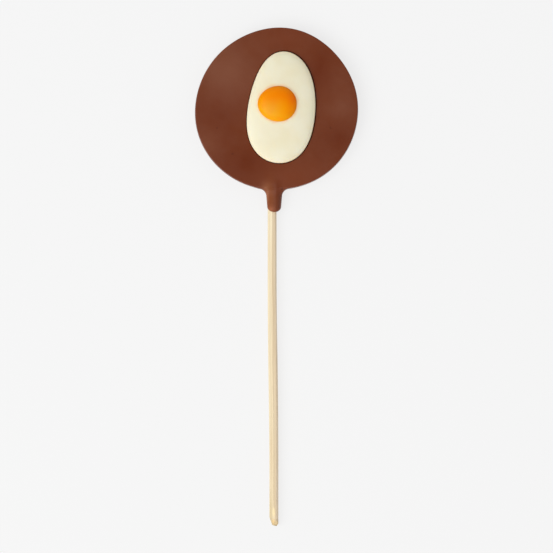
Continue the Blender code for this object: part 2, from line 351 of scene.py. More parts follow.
chocolate = {
    "centre": Vector((0.0, 67.06 * mm)),
    "radius": 32.55 * mm,
    "waves": (                # slightly out of round: waves to a turn, size and phase
        (2, 0.24 * mm, 71.0), (3, 0.255 * mm, -105.0), (4, 0.05 * mm, -33.0), (5, 0.05 * mm, 38.0),
        (6, 0.06 * mm, 90.0),
    ),
    "faceZ": 6.0 * mm,
    "edgeRadius": 0.30 * mm,
    "outerSlope": 3.0,        # how steeply the face falls away outside its edge
    "backRadius": 0.3 * mm,
    "wallDraft": math.radians(2.0),
    "gap": 0.34 * mm,         # crevice round the egg sweet, wider on one side than on the other
    "gapShift": Vector((0.10 * mm, 0.05 * mm)),
    "lipRadius": 0.14 * mm,   # rounding at the crevice
    "pocketZ": 5.0 * mm,
    "swell": 0.055 * mm,      # broad unevenness of the face
    "swellSize": 11.0 * mm,
    "ripple": 0.012 * mm,
    "rippleSize": 3.2 * mm,
    "steps": 640,
    "rings": (                # zones of its profile, with the first and last ring of each
        ("floor", 0, 3), ("lip", 0, 4), ("face", 1, 46), ("rim", 1, 9), ("wall", 1, 7),
        ("backEdge", 1, 3), ("back", 1, 34),
    ),
}

neck = {
    "centreX": -0.98 * mm,
    "endY": discLow.y,
    "height": 5.4 * mm,
    "noseLength": 2.2 * mm,
    "noseHalfWidth": 2.78 * mm,
    "sideSlope": 0.09,
    "filletStartY": 32.25 * mm,
    "filletRadius": 3.0 * mm,
    "filletEnd": math.radians(80.0),
    "joinAngle": math.radians(7.0),  # the disc's outline eases into the fillet over this angle
    "easeReach": 2.4 * mm,    # the points round that join are smoothed, down to a height
    "easeLowZ": 0.4 * mm,
    "easePasses": 6,
    "innerEndY": 40.0 * mm,
    "innerHalfWidth": 3.0 * mm,
    "archHeight": 2.8 * mm,
    "archPower": 2.7,         # fuller than a half round
    "ridge": 0.1 * mm,
    "ridgeLength": 5.0 * mm,
    "sink": 0.4 * mm,
    "blendReach": 0.35 * mm,
    "crestX": -0.22 * mm,     # a crease runs along its top, and fades out on the disc
    "crestSlope": 0.15,
    "crestRound": 0.06 * mm,
    "crestFadeY": 35.5 * mm,
    "crestEndY": 40.5 * mm,
    "turnShare": 0.15,        # share of the outline's points that run round the neck
    "noseShare": 0.30,        # shares of those on the nose and up to the fillet
    "sideShare": 0.66,
    "draftFade": (0.6, 1.15),  # its wall is upright: the draft starts between these, in turnShares
}
neck["noseBaseY"] = neck["endY"] + neck["noseLength"]
neck["rootHalfWidth"] = neck["noseHalfWidth"] + neck["sideSlope"] * (
    neck["filletStartY"] - neck["noseBaseY"])

backFace = {
    "hollow": 0.12 * mm,      # shallow middle, in three shares: even, uneven and dragged
    "even": 0.45,
    "uneven": 0.55,
    "dragged": 0.16,
    "unevenSize": 19.0 * mm,
    "dragSlant": 0.35,
    "dragWidth": 1.1 * mm,
    "patches": 0.6,
    "patchSize": 4.0 * mm,
    "edge": (0.2 * mm, 5.0 * mm),
}


def discRadius(angle):
    return chocolate["radius"] + sum(
        size * math.cos(order * angle - math.radians(phase))
        for order, size, phase in chocolate["waves"])


def draftInset():
    wallHeight = chocolate["faceZ"] - chocolate["edgeRadius"] - chocolate["backRadius"]
    return wallHeight * math.tan(chocolate["wallDraft"])


def neckHalfWidth(y):  # from the nose's base up: straight flaring sides, the fillet, then dying out
    straight = min(y, neck["filletStartY"]) - neck["noseBaseY"]
    width = neck["noseHalfWidth"] + neck["sideSlope"] * straight
    reach = min(max(y - neck["filletStartY"], 0.0), neck["filletRadius"])
    width += neck["filletRadius"] - math.sqrt(neck["filletRadius"] ** 2 - reach ** 2)
    inner = smoothStep(y, neck["filletStartY"] + neck["filletRadius"], neck["innerEndY"])
    return blend(width, neck["innerHalfWidth"], inner)


def neckTop(y):
    crestY = neck["filletStartY"] + neck["ridgeLength"]
    rise = smoothStep(y, neck["filletStartY"], crestY)
    fade = smoothStep(y, crestY, neck["innerEndY"])
    crest = chocolate["faceZ"] + neck["ridge"]
    return blend(neck["height"], crest, rise) - neck["sink"] * fade


def neckCrease(x, y):  # how far the sides of the crease along the neck's top fall away
    out = math.hypot(x - neck["crestX"], neck["crestRound"]) - neck["crestRound"]
    return neck["crestSlope"] * out * (1.0 - smoothStep(y, neck["crestFadeY"], neck["crestEndY"]))


def neckSurface(x, y):  # arched over the stick, with a blunt rounded nose
    shoulder = neckTop(y) - neck["archHeight"] - neckCrease(x, y)
    if y < neck["noseBaseY"]:
        along = (neck["noseBaseY"] - y) / neck["noseLength"]
        across = (x - neck["centreX"]) / neck["noseHalfWidth"]
        out = min(along * along + across * across, 1.0)
        power = neck["archPower"] / 2 + along  # blunter towards the end
        return shoulder + neck["archHeight"] * (1.0 - out ** power) ** (0.5 / power)
    flat = smoothStep(y, neck["filletStartY"], neck["filletStartY"] + neck["filletRadius"])
    arch = blend(neck["archHeight"], chocolate["edgeRadius"], flat)
    out = abs(x - neck["centreX"]) / neckHalfWidth(y)
    top = neckTop(y) - neckCrease(x, y)
    if out > 1.0 and y > neck["filletStartY"]:
        return top - arch - (out - 1.0) * neck["archHeight"]
    power = blend(neck["archPower"], 2.0, flat)
    return top - arch + arch * max(1.0 - out ** power, 0.0) ** (1.0 / power)


def discSurface(x, y):  # flat, with its edge rounded over
    offset = Vector((x, y)) - chocolate["centre"]
    angle = math.atan2(offset.y, offset.x)
    edge = discRadius(angle) - draftInset() - offset.length
    if edge < 0.0:
        return chocolate["faceZ"] - chocolate["edgeRadius"] + edge * chocolate["outerSlope"]
    out = max(1.0 - edge / chocolate["edgeRadius"], 0.0)
    return chocolate["faceZ"] - chocolate["edgeRadius"] * (1.0 - math.sqrt(1.0 - out * out))


def faceHeight(x, y):
    height = softMax(discSurface(x, y), neckSurface(x, y), neck["blendReach"])
    height += chocolate["swell"] * wander(x, y, chocolate["swellSize"], seed=3.7)
    height += chocolate["ripple"] * wander(x, y, chocolate["rippleSize"], seed=8.1)
    return height


def filletPoint(side, angle):
    x = neck["rootHalfWidth"] + neck["filletRadius"] * (1.0 - math.cos(angle))
    y = neck["filletStartY"] + neck["filletRadius"] * math.sin(angle)
    return Vector((neck["centreX"] + side * x, y))


@functools.cache
def rootAngle(side):  # direction from the disc's centre to where a fillet runs into the disc
    end = filletPoint(side, neck["filletEnd"]) - chocolate["centre"]
    return math.atan2(abs(end.x), -end.y)


def outlineTurn(turn):  # side, share of the way round, and angle from the neck about the disc
    side = 1.0 if turn >= 0.0 else -1.0
    share = abs(turn) / math.pi
    root = rootAngle(side)
    if share < neck["turnShare"]:
        return side, share, root * share / neck["turnShare"]
    rest = (share - neck["turnShare"]) / (1.0 - neck["turnShare"])
    return side, share, blend(root, math.pi, rest)


def neckOutline(side, part):  # from the end of the neck, at 0, to the end of the fillet, at 1
    if part < neck["noseShare"]:
        swing = part / neck["noseShare"] * math.pi / 2
        x = neck["noseHalfWidth"] * math.sin(swing)
        y = neck["noseBaseY"] - neck["noseLength"] * math.cos(swing)
        return Vector((neck["centreX"] + side * x, y))
    if part < neck["sideShare"]:
        rise = (part - neck["noseShare"]) / (neck["sideShare"] - neck["noseShare"])
        y = blend(neck["noseBaseY"], neck["filletStartY"], rise)
        return Vector((neck["centreX"] + side * neckHalfWidth(y), y))
    swing = (part - neck["sideShare"]) / (1.0 - neck["sideShare"]) * neck["filletEnd"]
    return filletPoint(side, swing)


@functools.cache
def outlinePoint(turn):  # outline seen from above; a turn of 0 is the end of the neck
    side, share, angle = outlineTurn(turn)
    if share < neck["turnShare"]:
        return neckOutline(side, share / neck["turnShare"])
    bearing = side * angle - math.pi / 2
    radius = discRadius(bearing)
    root = rootAngle(side)
    misfit = (filletPoint(side, neck["filletEnd"]) - chocolate["centre"]).length - discRadius(
        side * root - math.pi / 2)
    radius += misfit * (1.0 - smoothStep(angle, root, root + neck["joinAngle"]))
    return chocolate["centre"] + radius * Vector((math.cos(bearing), math.sin(bearing)))


@functools.cache
def outlineNormal(turn):
    nudge = 0.6 * math.pi / chocolate["steps"]  # a little over half a step
    ahead = min(turn + nudge, math.pi) if turn > 0 else turn + nudge
    behind = max(turn - nudge, -math.pi) if turn < 0 else turn - nudge
    step = outlinePoint(ahead) - outlinePoint(behind)
    return Vector((step.y, -step.x)).normalized()


@functools.cache
def pocketPoint(turn, offset):  # point of the pocket's outline that faces one of the chocolate's
    side, share, angle = outlineTurn(turn)
    bearing = side * angle - math.pi / 2
    swing = math.atan2(white["width"] * math.sin(bearing), white["length"] * math.cos(bearing))
    return white["centre"] + chocolate["gapShift"] + whiteOutline(swing, offset)


def backHeight(x, y, inset):  # scraped level while soft: faint straight drags and a shallow middle
    slanted = x + backFace["dragSlant"] * y
    drag = wander(slanted, 0.0, backFace["dragWidth"], seed=5.3)
    drag += backFace["patches"] * wander(slanted, y, backFace["patchSize"], seed=2.2)
    hollow = backFace["even"] + backFace["uneven"] * wander(x, y, backFace["unevenSize"], seed=9.4)
    hollow += backFace["dragged"] * drag
    return backFace["hollow"] * max(hollow, 0.0) * smoothStep(inset, *backFace["edge"])


def chocolatePlace(turn, zone, share):
    swing = share * math.pi / 2  # for the rounded zones
    if zone == "floor":
        spot = white["centre"].lerp(pocketPoint(turn, chocolate["gap"]), share)
        return (*spot, chocolate["pocketZ"])
    lip = chocolate["lipRadius"]
    if zone == "lip":
        spot = pocketPoint(turn, chocolate["gap"] + lip * (1.0 - math.cos(swing)))
        return (*spot, faceHeight(*spot) - lip * (1.0 - math.sin(swing)))
    point = outlinePoint(turn)
    normal = outlineNormal(turn)
    fadeStart, fadeEnd = (end * neck["turnShare"] for end in neck["draftFade"])
    inset = draftInset() * smoothStep(abs(turn) / math.pi, fadeStart, fadeEnd)
    edge = point - normal * inset
    if zone == "face":
        inner = pocketPoint(turn, chocolate["gap"] + lip)
        spot = inner.lerp(edge - normal * chocolate["edgeRadius"], share)
        return (*spot, faceHeight(*spot))
    if zone == "rim":
        spot = edge - normal * chocolate["edgeRadius"] * (1.0 - math.sin(swing))
        return (*spot, faceHeight(*spot))
    radius = chocolate["backRadius"]
    if zone == "wall":
        return (*edge.lerp(point, share), blend(faceHeight(*edge), radius, share))
    if zone == "backEdge":
        spot = point - normal * radius * (1.0 - math.cos(swing))
        return (*spot, radius * (1.0 - math.sin(swing)))
    start = point - normal * radius
    spot = start.lerp(chocolate["centre"], share)
    return (*spot, backHeight(*spot, (start - spot).length))


def makeChocolateMesh():
    bm = spinPiece(chocolate, chocolatePlace)
    for side in (-1, 1):  # eases the join of each fillet with the disc
        root = filletPoint(side, neck["filletEnd"])
        near = [vert for vert in bm.verts if (vert.co.xy - root).length < neck["easeReach"]
                and vert.co.z > neck["easeLowZ"]]
        for count in range(neck["easePasses"]):
            bmesh.ops.smooth_vert(bm, verts=near, factor=0.5, use_axis_x=True, use_axis_y=True,
                                  use_axis_z=True)
    return bm


chocolateFinish = {
    "shader": {
        "Metallic": 0.0, "IOR": 1.46, "Specular IOR Level": 0.25, "Subsurface Weight": 0.04,
        "Subsurface Radius": (1.0, 0.4, 0.2), "Subsurface Scale": 0.8 * mm},
    "body": srgb(112, 54, 29),
    "warm": srgb(104, 43, 15),
    "ruddy": srgb(120, 59, 33),
    "bloomAndSheen": srgb(126, 74, 52),
    "caramel": srgb(126, 63, 25),
    "fawn": srgb(156, 98, 66),
    "tawny": srgb(152, 84, 48),
    "dark": srgb(78, 34, 18),
    "clouds": (85.0, 2.0, 0.22),      # scale, detail and softness
    "cloudAmount": 0.3,
    "streaks": (230.0, 3.0, 0.3),
    "streakAmount": 0.2,
    "patches": (  # tone, place and size in mm, turn in degrees, and how strongly it shows
        # painted sheen: these lighter patches stand for soft reflections of the light on the face
        ("bloomAndSheen", -19.0, 83.0, 30.0, 24.0, 40.0, 1.0),
        ("bloomAndSheen", -25.0, 84.0, 12.0, 24.0, -30.0, 0.6),
        ("bloomAndSheen", 26.0, 68.0, 15.0, 20.0, 0.0, 0.55),
        ("bloomAndSheen", -28.0, 53.0, 10.0, 15.0, 20.0, 0.6),
        ("ruddy", 4.0, 96.0, 24.0, 12.0, 0.0, 0.7),
        ("ruddy", 6.0, 40.0, 34.0, 15.0, 0.0, 1.0),
        # painted lack of sheen: darker, redder patches where less reflection falls on the face
        ("warm", -22.0, 64.0, 20.0, 15.0, 0.0, 0.6),
        ("warm", -12.0, 46.0, 24.0, 16.0, -30.0, 1.2),
        ("warm", 25.0, 55.5, 16.0, 13.0, 0.0, 1.1),
        # painted shadow of the egg white, cast on the face beside its right side
        ("warm", 17.0, 83.0, 11.0, 30.0, 20.0, 1.1),
        # on the neck: lighter and more orange over it, leaning to its lit left (partly painted light),
        # then a painted highlight along its left edge and fillet, and painted light on the left of its
        # nose
        ("caramel", -2.6, 31.0, 4.0, 14.0, 0.0, 1.6),
        ("fawn", -4.4, 35.6, 3.6, 4.5, 0.0, 0.6),
        ("fawn", -4.0, 31.5, 1.4, 7.5, 5.0, 1.2),
        ("tawny", -2.5, 27.2, 3.2, 2.7, 0.0, 1.1),
        # painted shade on the neck's right side, where it meets the disc
        ("warm", 0.6, 35.5, 3.4, 5.0, 0.0, 0.8),
    ),
    "specks": (120.0, 0.075),         # scale and radius
    "speckAmount": 0.5,
    # pinholes take the dark tone as painted shade inside them; the specks are dark in colour
    "pinholes": (420.0, 0.06),
    "pinholeAmount": 0.35,
    "roughness": 0.31,                # and more on the clouds, the streaks and the handled neck
    "cloudWear": 0.08,
    "streakWear": 0.05,
    "localZone": ((-2.4 * mm, 31.0 * mm), (6.0 * mm, 13.0 * mm)),  # place and size
    "handledWear": 0.35,
    "skin": (330.0, 5200.0, 0.10),    # scales of the ripples and the grain, and the grain's share
    "markDepth": 0.6,
    "bump": (0.05 * mm, 0.6),         # height and strength
}


def makeChocolateMaterial():
    finish = chocolateFinish
    material, tree, shader, position = newMaterial("satinMilkChocolate", finish["shader"])
    clouds = addClouds(tree, position, *finish["clouds"])
    streaks = addClouds(tree, position, *finish["streaks"])
    base = tint(tree, finish["body"], clouds, finish["cloudAmount"], finish["warm"])
    base = tint(tree, base, streaks, finish["streakAmount"], finish["bloomAndSheen"])
    # the patches paint sheen, shadow, light and shade onto the chocolate, as marked in their table
    base = layPatches(tree, position, base, finish, finish["patches"])
    specks = addSpots(tree, position, *finish["specks"])
    pinholes = addSpots(tree, position, *finish["pinholes"])
    marks = calc(tree, "MAXIMUM", calc(tree, "MULTIPLY", specks, finish["speckAmount"]),
                 calc(tree, "MULTIPLY", pinholes, finish["pinholeAmount"]))
    base = mixColours(tree, marks, base, finish["dark"])
    tree.links.new(base, shader.inputs["Base Color"])
    localZone = roundPatch(tree, position, *finish["localZone"])
    wear = calc(tree, "ADD", calc(tree, "MULTIPLY", clouds, finish["cloudWear"]),
                calc(tree, "MULTIPLY", streaks, finish["streakWear"]))
    wear = calc(tree, "ADD", wear, calc(tree, "MULTIPLY", localZone, finish["handledWear"]))
    tree.links.new(calc(tree, "ADD", wear, finish["roughness"]), shader.inputs["Roughness"])
    skin = addSkin(tree, position, *finish["skin"])
    height = calc(tree, "SUBTRACT", skin, calc(tree, "MULTIPLY", marks, finish["markDepth"]))
    addBump(tree, shader, height, *finish["bump"])
    return material


finishPiece("chocolate_body", makeChocolateMesh(), makeChocolateMaterial(),
            "chocolate_disc")


# egg white

def yolkDistance(x, y):  # from the yolk's edge, outwards
    across = (x - yolk["centre"][0]) / (yolk["width"] / 2)
    along = (y - yolk["centre"][1]) / (yolk["length"] / 2)
    return (math.hypot(across, along) - 1.0) * (yolk["width"] + yolk["length"]) / 4


def crownHeight(x, y, inset, rise):
    height = blend(white["edgeZ"], white["topZ"], rise)
    height -= white["beadDepth"] * bell(inset - white["beadInset"], white["beadWidth"])
    height += white["collar"] * math.exp(-max(yolkDistance(x, y), 0.0) / white["collarReach"])
    lumps = wander(x, y, white["lumpSize"], seed=1.9)
    lumps += white["pimples"] * wander(x, y, white["pimpleSize"], seed=6.2)
    return height + white["lumps"] * smoothStep(inset, 0.0, white["lumpEdge"]) * lumps


def whitePlace(turn, zone, share):
    centre = white["centre"]
    base = chocolate["pocketZ"] - white["sink"]
    foot = white["foot"]
    if zone == "crown":
        tilt = (1.0 - share) * math.pi / 2
        reach = math.cos(tilt) ** (2.0 / white["fullness"])
        spot = centre + whiteOutline(turn) * reach
        inset = (1.0 - reach) * whiteOutline(turn).length
        return (*spot, crownHeight(*spot, inset, math.sin(tilt)))
    if zone == "wall":
        return (*(centre + whiteOutline(turn)), blend(white["edgeZ"], base + foot, share))
    if zone == "foot":
        swing = share * math.pi / 2
        spot = centre + whiteOutline(turn, -foot * (1.0 - math.cos(swing)))
        return (*spot, base + foot * (1.0 - math.sin(swing)))
    return (*(centre + whiteOutline(turn, -foot) * (1.0 - share)), base)


foamFinish = {
    "shader": {
        "Metallic": 0.0, "IOR": 1.42, "Specular IOR Level": 0.2, "Subsurface Weight": 0.25,
        "Subsurface Radius": (1.0, 0.85, 0.6), "Subsurface Scale": 0.5 * mm},
    "cream": srgb(240, 234, 206),
    "pale": srgb(244, 239, 216),
    "warm": srgb(238, 228, 194),
    "clouds": (140.0, 2.0, 0.25),
    "creamAmount": 0.5,
    "yolkScatterGlow": srgb(250, 178, 96),      # painted glow: a faint ragged orange rim round the yolk, of light scattered out of the jelly
    "yolkScatterGlowAmount": 0.62,
    "yolkScatterGlowReach": 1.5 * mm,
    "yolkScatterGlowStart": 0.98,               # as a share of the yolk's radius
    "yolkScatterGlowFade": 1.8,
    "rags": (520.0, 2.0, 0.3),
    "ragSize": 0.05,
    "edge": srgb(252, 224, 182),      # warmer low down, beside the chocolate: partly a smear of chocolate, partly painted shade and warm light thrown up from the chocolate
    "edgeAmount": 0.6,
    "edgeRise": (0.1 * mm, 0.8 * mm),  # heights over its wall where that starts to fade, and ends
    "roughness": (0.42, 0.52),
    "pores": (900.0, 0.16),
    "poreDepth": 0.35,
    "skin": (500.0, 6000.0, 0.25),
    "bump": (0.035 * mm, 0.6),
}


def makeFoamMaterial():
    finish = foamFinish
    material, tree, shader, position = newMaterial("creamSugarFoam", finish["shader"])
    clouds = addClouds(tree, position, *finish["clouds"])
    base = mixColours(tree, clouds, finish["warm"], finish["pale"])
    base = mixColours(tree, finish["creamAmount"], base, finish["cream"])

    # painted glow round the yolk: light scattered out of the jelly, laid on as colour
    centred = addNode(tree, "ShaderNodeMapping", {
        "Vector": position, "Location": (-yolk["centre"][0], -yolk["centre"][1], 0.0)})
    oval = addNode(tree, "ShaderNodeMapping", {
        "Vector": centred.outputs[0], "Scale": (2 / yolk["width"], 2 / yolk["length"], 0.0)})
    away = addNode(tree, "ShaderNodeVectorMath", {0: oval.outputs[0]}, operation="LENGTH")
    rags = addClouds(tree, position, *finish["rags"])
    rags = rangeOf(tree, rags, -finish["ragSize"], finish["ragSize"])
    ragged = calc(tree, "ADD", away.outputs["Value"], rags)
    yolkScatterGlowEnd = 1.0 + finish["yolkScatterGlowReach"] / (yolk["width"] / 2)
    yolkScatterGlow = rangeOf(tree, ragged, finish["yolkScatterGlowAmount"], 0.0, finish["yolkScatterGlowStart"], yolkScatterGlowEnd)
    yolkScatterGlow = calc(tree, "POWER", yolkScatterGlow, finish["yolkScatterGlowFade"])
    base = mixColours(tree, yolkScatterGlow, base, finish["yolkScatterGlow"])

    # low down beside the chocolate: partly a smear, partly painted shade and warm bounced light
    upright = addNode(tree, "ShaderNodeSeparateXYZ", {"Vector": position}).outputs["Z"]
    fadeStart, fadeEnd = (white["edgeZ"] + rise for rise in finish["edgeRise"])
    lowDown = rangeOf(tree, upright, finish["edgeAmount"], 0.0, fadeStart, fadeEnd)
    base = mixColours(tree, lowDown, base, finish["edge"])
    tree.links.new(base, shader.inputs["Base Color"])
    tree.links.new(rangeOf(tree, clouds, *finish["roughness"]), shader.inputs["Roughness"])
    pores = addSpots(tree, position, *finish["pores"])
    skin = addSkin(tree, position, *finish["skin"])
    height = calc(tree, "SUBTRACT", skin, calc(tree, "MULTIPLY", pores, finish["poreDepth"]))
    addBump(tree, shader, height, *finish["bump"])
    return material


finishPiece("egg_white_foam", spinPiece(white, whitePlace), makeFoamMaterial(),
            "egg_white")


# yolk

def yolkOutline(turn):
    uneven = yolk["uneven"] * math.cos(3 * turn)
    x = (yolk["width"] / 2 - uneven) * math.cos(turn)
    return Vector((x, (yolk["length"] / 2 - uneven) * math.sin(turn)))


def yolkPlace(turn, zone, share):
    centre = Vector(yolk["centre"])
    if zone == "dome":
        tilt = (1.0 - share) * math.pi / 2
        rise = math.sin(tilt)
        reach = math.cos(tilt) ** (2.0 / yolk["fullness"])
        spot = centre + yolkOutline(turn) * reach
        height = blend(yolk["edgeZ"], yolk["topZ"], rise)
        height -= yolk["lumps"] * rise * (0.5 + 0.5 * wander(*spot, yolk["lumpSize"], seed=4.4))
        return (*spot, height)
    if zone == "wall":
        return (*(centre + yolkOutline(turn)), blend(yolk["edgeZ"], yolk["bottomZ"], share))
    return (*(centre + yolkOutline(turn) * (1.0 - share)), yolk["bottomZ"])


jellyFinish = {
    "shader": {
        "Metallic": 0.0, "IOR": 1.42, "Specular IOR Level": 0.1, "Subsurface Weight": 0.6,
        "Subsurface Radius": (1.0, 0.45, 0.08), "Subsurface Scale": 1.6 * mm},
    "amber": srgb(254, 149, 0),
    "yellow": srgb(240, 173, 8),
    "deep": srgb(254, 108, 0),
    "light": srgb(247, 171, 54),
    "honey": srgb(255, 172, 0),
    "patches": (  # as for the chocolate, but from the yolk's middle
        # painted light: yellower and brighter on the lower left, where the light falls
        ("yellow", -2.8, -3.4, 12.0, 9.0, 20.0, 1.3),
        # painted highlight: a soft reflection of the key light
        ("light", -2.0, -1.8, 6.8, 6.4, 0.0, 0.65),
        # painted shade on the right and over the top, which turn from the light
        ("deep", 6.9, 2.6, 7.0, 10.0, 11.5, 0.75),
        ("deep", 0.6, 3.7, 12.0, 8.0, 0.0, 0.32),
        # painted light on the lower right
        ("honey", 2.6, -1.9, 5.8, 6.4, 0.0, 0.42),
    ),
    "clouds": (260.0, 1.0, 0.3),
    "cloudAmount": 0.08,
    "roughness": (0.27, 0.35),
    "skin": (420.0, 3000.0, 0.12),
    "bump": (0.04 * mm, 0.5),
}


def makeJellyMaterial():
    finish = jellyFinish
    material, tree, shader, position = newMaterial("orangeJelly", finish["shader"])
    clouds = addClouds(tree, position, *finish["clouds"])
    # the patches paint the yolk's light, shade and highlight
    base = layPatches(tree, position, finish["amber"], finish, finish["patches"], yolk["centre"])
    base = tint(tree, base, clouds, finish["cloudAmount"], finish["deep"])
    tree.links.new(base, shader.inputs["Base Color"])
    tree.links.new(rangeOf(tree, clouds, *finish["roughness"]), shader.inputs["Roughness"])
    addBump(tree, shader, addSkin(tree, position, *finish["skin"]), *finish["bump"])
    return material


finishPiece("yolk_jelly", spinPiece(yolk, yolkPlace), makeJellyMaterial(), "egg_yolk")


# stick

stick = {
    "length": 150.0 * mm,
    "radius": 1.79 * mm,
    "leastRadius": 0.02 * mm,  # where the cuts leave no wood
    "swell": 0.09 * mm,        # a little thicker round one place, by this much
    "swellZ": 64.0 * mm,
    "swellReach": 26.0 * mm,
    "axisZ": 2.5 * mm,
    "tipX": -1.09 * mm,
    "upperX": -1.80 * mm,      # the stick is slightly bowed, so that its upper half runs here
    "bowTop": 2.0 * mm,
    "bowEnd": -76.0 * mm,
    "flats": (                 # degrees round the stick, and share of the radius
        (-106.0, 0.865), (-80.0, 0.885), (30.0, 0.975), (152.0, 0.97),
    ),
    "flatFacing": 0.2,         # a flat reaches no further round than where it faces by this much
    "drifts": (                # the flats turn to and fro: place and reach in mm, and by how much
        (22.0, 26.0, -0.12), (62.0, 9.0, -0.10), (84.0, 11.0, 0.13),
    ),
    "beadTurn": math.radians(-90.2),  # a fine bead stands where the two deep flats meet
    "beadWidth": 0.075,
    "bead": 0.05 * mm,
    "bundles": 0.030 * mm,     # long fibre bundles, how closely they stand and how long they are
    "bundleCrowding": 3.4,
    "bundleLength": 55.0 * mm,
    "fibres": 0.012 * mm,
    "fibreCrowding": 11.0,
    "fibreLength": 24.0 * mm,
    "sides": 150,
    "rows": 300,
    "rowCrowding": 1.5,        # rows stand closer towards the tip
    "endRings": (0.3, 0.5),    # rings on both ends, so that the cut end can be rough
    "cuts": (                  # knife cuts: a point and an outward direction, in its own frame
        ((-0.30, -1.52, 7.9), (-0.25, -0.967, -0.040)),
        ((-1.70, 0.0, 3.6), (-0.93, -0.10, -0.36)),
        ((0.0, -1.30, 2.2), (-0.15, -0.75, -0.65)),
        ((1.78, 0.0, 1.2), (0.836, 0.0, -0.549)),
    ),
    "cutFacing": 0.01,
    "endCut": ((0.0, 0.0, 0.4), (-0.22, -0.05, -0.97)),
}


def stickRadius(turn, z):  # planed flats, with fibre bundles that run the whole way
    radius = stick["radius"] + stick["swell"] * bell(z - stick["swellZ"], stick["swellReach"])
    drift = sum(size * bell(z / mm - place, reach) for place, reach, size in stick["drifts"])
    for bearing, share in stick["flats"]:
        facing = math.cos(turn - math.radians(bearing) - drift)
        if facing > stick["flatFacing"]:
            radius = min(radius, stick["radius"] * share / facing)
    radius += stick["bead"] * bell(turn - stick["beadTurn"] - drift, stick["beadWidth"])
    across = Vector((math.cos(turn), math.sin(turn), 0.0))
    bundle = noise.noise(
        across * stick["bundleCrowding"] + Vector((0.0, 0.0, z / stick["bundleLength"])))
    fibre = noise.noise(
        across * stick["fibreCrowding"] + Vector((4.0, 0.0, z / stick["fibreLength"])))
    return radius - stick["bundles"] * abs(bundle) - stick["fibres"] * (0.5 + 0.5 * fibre)


def cutRadius(radius, turn, z):  # how far out the knife cuts leave the wood
    ahead = Vector((math.cos(turn), math.sin(turn), 0.0))
    for point, outward in stick["cuts"]:
        normal = Vector(outward)
        room = normal.dot(Vector(point)) * mm - normal.z * z
        facing = normal.dot(ahead)
        if facing > stick["cutFacing"]:
            radius = min(radius, max(room / facing, stick["leastRadius"]))
    return radius


def stickX(y):
    return blend(stick["tipX"], stick["upperX"], smoothStep(y, stick["bowEnd"], stick["bowTop"]))


def makeStickMesh():
    bm = bmesh.new()
    bmesh.ops.create_cone(
        bm, cap_ends=True, segments=stick["sides"], radius1=1.0, radius2=1.0, depth=1.0)
    longEdges = [edge for edge in bm.edges if edge.verts[0].co.z * edge.verts[1].co.z < 0]
    bmesh.ops.subdivide_edges(bm, edges=longEdges, cuts=stick["rows"], use_grid_fill=False)
    ends = [face for face in bm.faces if len(face.verts) > 4]
    for thickness in stick["endRings"]:
        bmesh.ops.inset_region(bm, faces=ends, thickness=thickness, use_even_offset=True)
    bmesh.ops.poke(bm, faces=ends)
    endPoint = Vector(stick["endCut"][0]) * mm
    endNormal = Vector(stick["endCut"][1])
    for vert in bm.verts:
        share = math.hypot(vert.co.x, vert.co.y)
        turn = math.atan2(vert.co.y, vert.co.x)
        z = stick["length"] * (vert.co.z + 0.5) ** stick["rowCrowding"]
        radius = share * cutRadius(stickRadius(turn, z), turn, z)
        x = radius * math.cos(turn)
        y = radius * math.sin(turn)
        drop = endNormal.x * (x - endPoint.x) + endNormal.y * (y - endPoint.y)
        vert.co = (x, y, max(z, endPoint.z - drop / endNormal.z))
    for vert in bm.verts:  # from the stick's own frame to its place
        x, y, z = vert.co
        frontY = stickLow.y + z
        vert.co = (stickX(frontY) + x, frontY, stick["axisZ"] - y)
    closeMesh(bm)
    return bm


bambooFinish = {  # pairs are where a tone starts and ends: a Part along the stick, a Side across it
    "shader": {"Metallic": 0.0, "IOR": 1.45, "Specular IOR Level": 0.25},
    "pale": srgb(240, 227, 194),
    # straw: slightly darker on the right, the side turned from the light: painted shade
    "straw": srgb(240, 220, 187),
    "strawSide": (-0.3 * mm, 0.5 * mm),
    "localZone": srgb(228, 212, 178),       # a little darker on the left, towards the tip
    "darkerLeftPart": (-70.0 * mm, -10.0 * mm),
    "darkerLeftAmount": 0.6,
    "ridgeHighlight": srgb(253, 239, 207),        # painted highlight: a pale line where the two deep flats meet, as that ridge catches the light
    "ridgeHighlightX": -0.42 * mm,
    "ridgeHighlightReach": 0.36 * mm,
    "ridgeHighlightAmount": 0.7,
    "sallow": srgb(210, 194, 150),
    "sallowPart": (-92.0 * mm, -84.0 * mm),
    "sallowSide": (-1.3 * mm, -0.4 * mm),
    "sallowAmount": 0.8,
    "flank": srgb(250, 235, 212),         # paler on the right flank, and more so near the tip: painted light thrown up from the pale floor onto that shaded side
    "flankSide": (0.8 * mm, 1.6 * mm),
    "flankAmount": 0.7,
    "tipPart": (-86.0 * mm, -72.0 * mm),
    "tipSide": (0.6 * mm, 1.1 * mm),
    "tan": srgb(222, 196, 156),
    "bands": (900.0, 2.0, 0.2),
    "bandStretch": 0.03,
    "bandAmount": 0.45,
    "fibre": srgb(196, 162, 118),
    "strands": (3600.0, 3.0, 0.25),
    "strandStretch": 0.012,
    "strandAmount": 0.22,
    "freshCut": srgb(247, 226, 180),
    "cutPatches": (("freshCut", -1.20, 5.7, 0.9, 3.1, 0.0, 2.5),),  # its place is from the tip
    "endGrain": srgb(212, 186, 140),
    "endPart": (1.8 * mm, 3.2 * mm),      # from the tip
    "endAmount": 0.9,
    "endLight": srgb(244, 208, 148),
    "endPatches": (("endLight", -1.35, 2.1, 0.8, 1.7, 0.0, 1.4),),
    "roughness": (0.5, 0.66),
    "strandHeight": 0.6,
    "bump": (0.03 * mm, 0.7),
}


